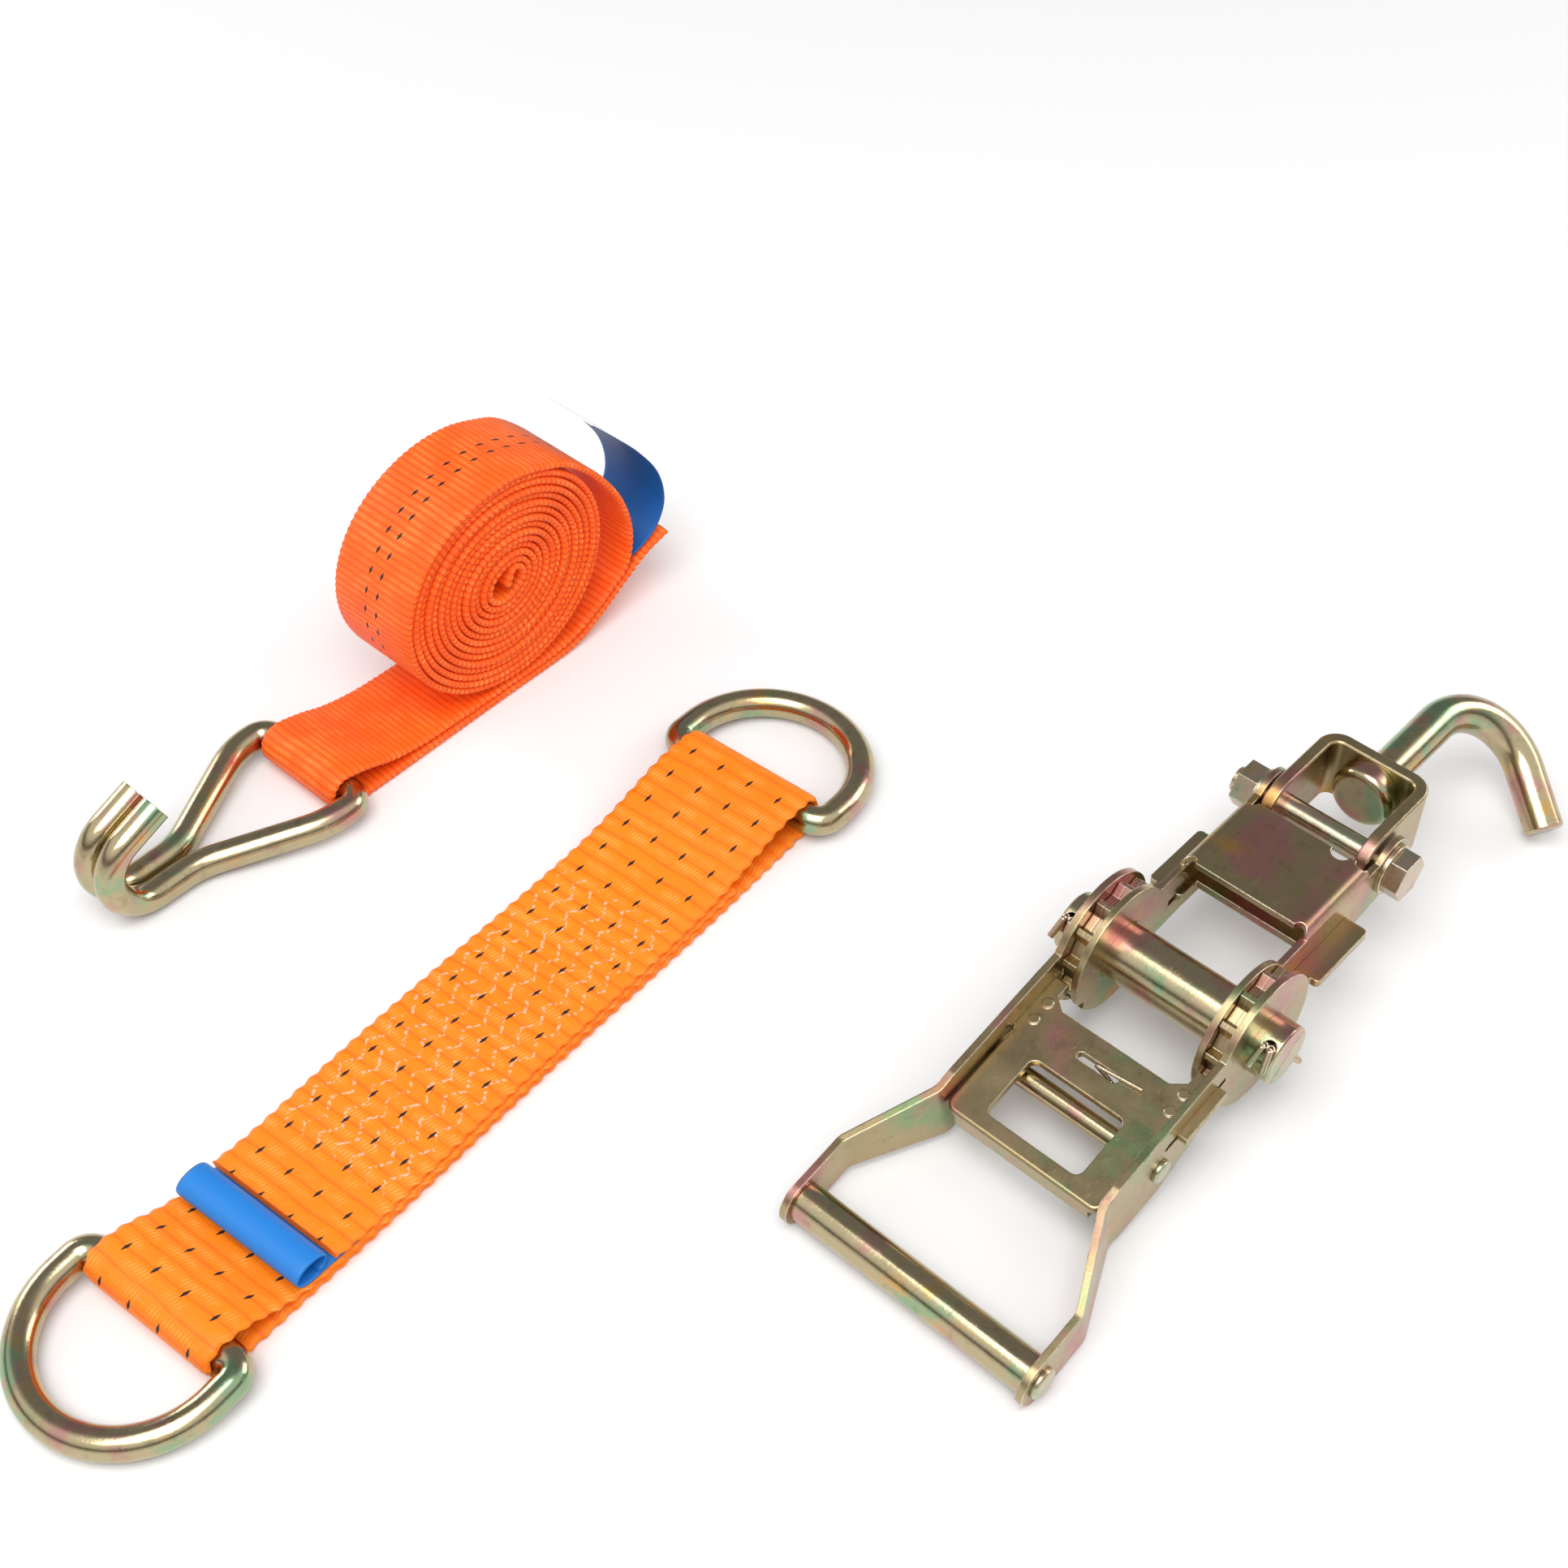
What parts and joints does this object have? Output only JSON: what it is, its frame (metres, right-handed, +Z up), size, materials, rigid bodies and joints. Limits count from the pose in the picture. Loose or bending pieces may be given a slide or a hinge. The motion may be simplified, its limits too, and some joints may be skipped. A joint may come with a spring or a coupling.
{
  "type": "ratchet tie down",
  "caption": "Vehicle transport lashing set: short hand ratchet with swivel J-hook, coiled strap with double claw hook, and link strap with a D-ring at each end.",
  "frame": {"origin": "centre of the ratchet's spindle, on its axis midway between the frame's side plates", "axes": "+X along the ratchet from the spindle to the J-hook, +Y along the spindle, +Z up, out of the frame's cross web"},
  "size_m": [0.4463, 0.3299, 0.0857],
  "materials": {
    "zinc_sheet": "yellow zinc plated sheet steel with a faint rainbow",
    "zinc_forged": "yellow zinc plated rod and forgings",
    "zinc_hardware": "yellow zinc plated fasteners, split pins and spring wire",
    "webbing_orange": "woven polyester webbing, bright orange",
    "webbing_red": "woven polyester webbing, red orange",
    "label_blue": "thin woven label, blue"
  },
  "bodies": {
    "frame": {"frame_channel": "zinc_sheet", "frame_pawl_spring": "zinc_hardware", "clevis_bolt": "zinc_hardware", "clevis_nut": "zinc_hardware", "clevis_washers": "zinc_hardware"},
    "spindle": {"spindle_half_upper": "zinc_forged", "spindle_half_lower": "zinc_forged", "ratchet_wheels_left": "zinc_sheet", "ratchet_wheels_right": "zinc_sheet", "split_pins": "zinc_hardware"},
    "handle": {"handle_plate_left": "zinc_sheet", "handle_plate_right": "zinc_sheet", "cross_rod_sleeve": "zinc_forged", "cross_rod_rivet": "zinc_hardware", "grip_tube": "zinc_forged", "grip_rivet": "zinc_hardware", "handle_pawl_spring": "zinc_hardware"},
    "handle_pawl": {"handle_pawl": "zinc_sheet", "handle_pawl_spring_leg": "zinc_hardware"},
    "frame_pawl": {"frame_pawl": "zinc_sheet"},
    "clevis": {"clevis": "zinc_sheet"},
    "hook": {"swivel_hook": "zinc_forged"},
    "long_strap": {"strap_lead": "webbing_red", "strap_coil": "webbing_red", "strap_label": "label_blue"},
    "claw_hook": {"claw_hook": "zinc_forged"},
    "link_strap": {"link_webbing": "webbing_orange", "link_flap": "webbing_orange", "link_label": "label_blue"},
    "d_ring_near": {"d_ring_near": "zinc_forged"},
    "d_ring_far": {"d_ring_far": "zinc_forged"}
  },
  "joints": [
    {"name": "spindle_spin", "type": "hinge", "parent": "frame", "child": "spindle", "pos_m": [0, 0, 0], "axis": [0, 1, 0], "continuous": true},
    {"name": "handle_swing", "type": "hinge", "parent": "frame", "child": "handle", "pos_m": [0, 0, 0], "axis": [0, 1, 0], "range_deg": [-150, 0]},
    {"name": "handle_pawl_slide", "type": "slide", "parent": "handle", "child": "handle_pawl", "axis": [-0.9816, 0, -0.1908], "range_m": [-0.0034, 0.004], "stiffness_N_per_m": 600},
    {"name": "frame_pawl_slide", "type": "slide", "parent": "frame", "child": "frame_pawl", "axis": [1, 0, 0], "range_m": [-0.0034, 0], "stiffness_N_per_m": 600},
    {"name": "clevis_pivot", "type": "hinge", "parent": "frame", "child": "clevis", "pos_m": [0.073, 0, 0.004], "axis": [0, 1, 0], "range_deg": [-80, 80]},
    {"name": "hook_swivel", "type": "hinge", "parent": "clevis", "child": "hook", "pos_m": [0.1, 0, 0.004], "axis": [1, 0, 0], "continuous": true},
    {"name": "strap_lift", "type": "slide", "parent": "frame", "child": "long_strap", "axis": [0, 0, 1], "range_m": [0, 0.2]},
    {"name": "claw_hook_swing", "type": "hinge", "parent": "long_strap", "child": "claw_hook", "pos_m": [-0.094, 0.26, -0.02183], "axis": [0, 1, 0], "range_deg": [-60, 80]},
    {"name": "link_lift", "type": "slide", "parent": "frame", "child": "link_strap", "axis": [0, 0, 1], "range_m": [0, 0.2]},
    {"name": "d_ring_near_swing", "type": "hinge", "parent": "link_strap", "child": "d_ring_near", "pos_m": [-0.24373, 0.13847, -0.02183], "axis": [-0.068, 0.9977, 0], "range_deg": [-20, 150]},
    {"name": "d_ring_far_swing", "type": "hinge", "parent": "link_strap", "child": "d_ring_far", "pos_m": [-0.00827, 0.15453, -0.02183], "axis": [0.068, -0.9977, 0], "range_deg": [-20, 150]}
  ]
}
